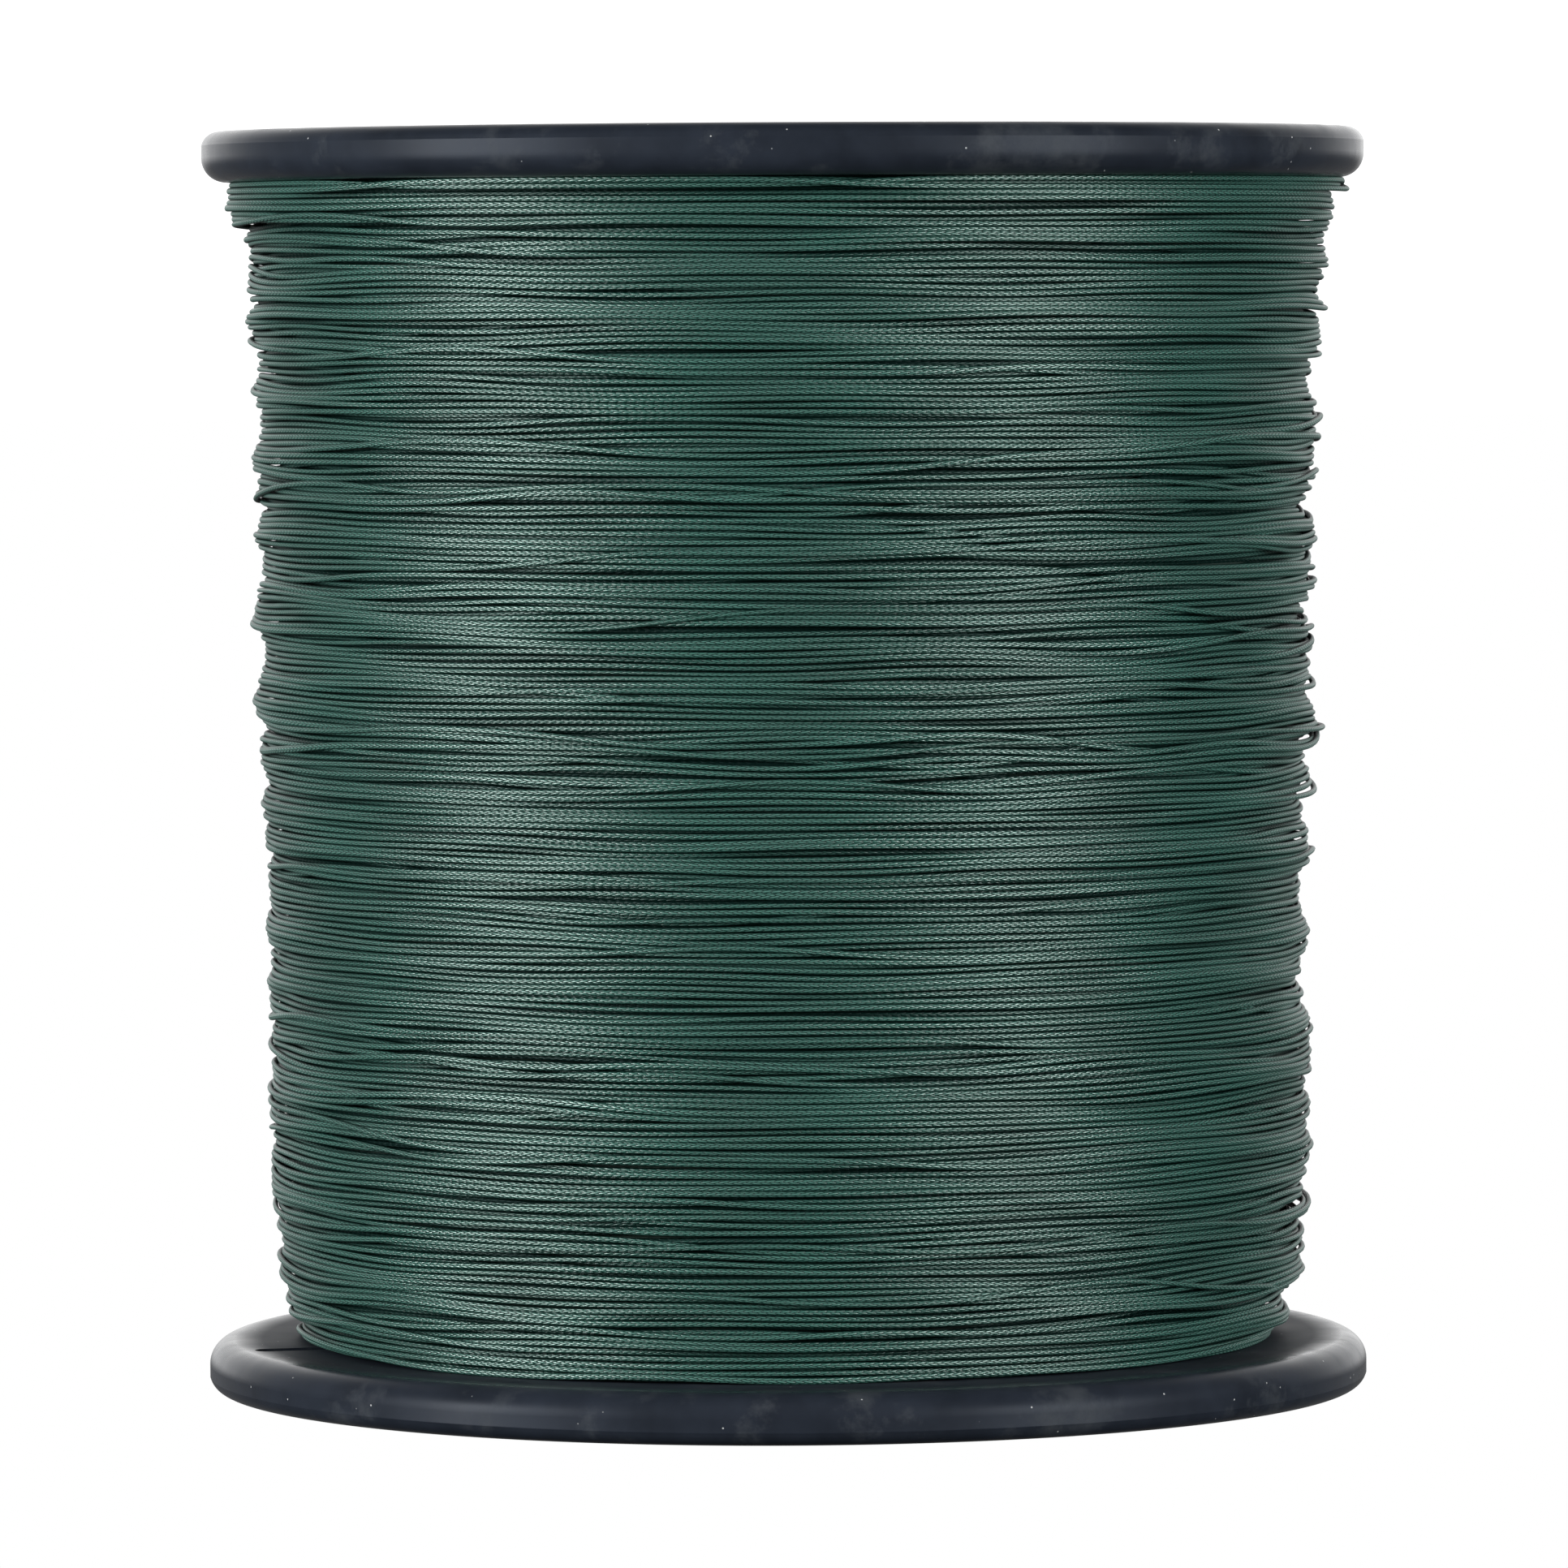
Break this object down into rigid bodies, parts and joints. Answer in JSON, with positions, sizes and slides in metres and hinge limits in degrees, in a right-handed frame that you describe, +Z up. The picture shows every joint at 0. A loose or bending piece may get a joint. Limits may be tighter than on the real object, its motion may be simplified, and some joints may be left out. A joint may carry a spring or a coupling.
{
  "type": "fishing line spool",
  "caption": "Bulk spool of dark green braided fishing line between two rounded black plastic flanges, with a line slot in each flange and a through bore for a spindle.",
  "frame": {"origin": "middle of the lower flange's outer face, on the spool's axis, where the spool stands", "axes": "+Z up the spool's axis towards the upper flange; the line slots lie on the -X side, 15 degrees round towards -Y"},
  "size_m": [0.12, 0.12, 0.1301],
  "materials": {
    "spool_plastic": "satin moulded polystyrene, near black",
    "core_plastic": "satin extruded tube, near black",
    "braid": "eight-strand braided polyethylene, dark green, waxy sheen",
    "tape": "plain crepe masking tape",
    "label_paper": "blank coated paper, semi-matt"
  },
  "bodies": {
    "root": {"lower_flange": "spool_plastic", "upper_flange": "spool_plastic", "barrel_tube": "core_plastic", "arbor_tube": "core_plastic", "anchor_tape": "tape", "wound_line": "braid", "lower_label": "label_paper", "upper_label": "label_paper"}
  },
  "joints": []
}
